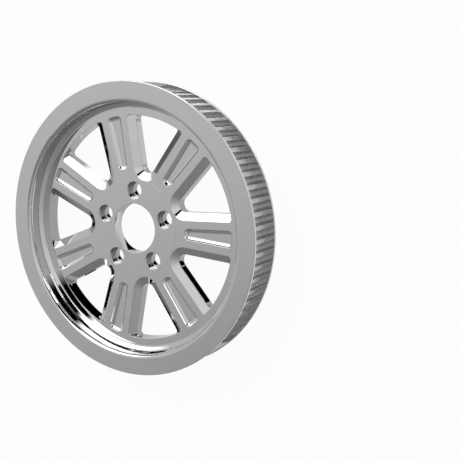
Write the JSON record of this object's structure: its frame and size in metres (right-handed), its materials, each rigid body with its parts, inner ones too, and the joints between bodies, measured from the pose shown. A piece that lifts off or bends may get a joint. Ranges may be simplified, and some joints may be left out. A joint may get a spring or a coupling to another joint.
{
  "type": "belt drive pulley",
  "caption": "Toothed rear belt pulley in polished chrome, with flanges, slotted spokes, counterbored bolt holes and a centre bore.",
  "frame": {"origin": "on the wheel axis, in the plane of the rear rim face that the part lies on", "axes": "+Z along the wheel axis towards the show face; +X along the middle of one spoke; +Y through one bolt hole"},
  "size_m": [0.316, 0.316, 0.045],
  "materials": {
    "chrome": "polished chrome plate"
  },
  "bodies": {
    "root": {"pulley": "chrome"}
  },
  "joints": []
}
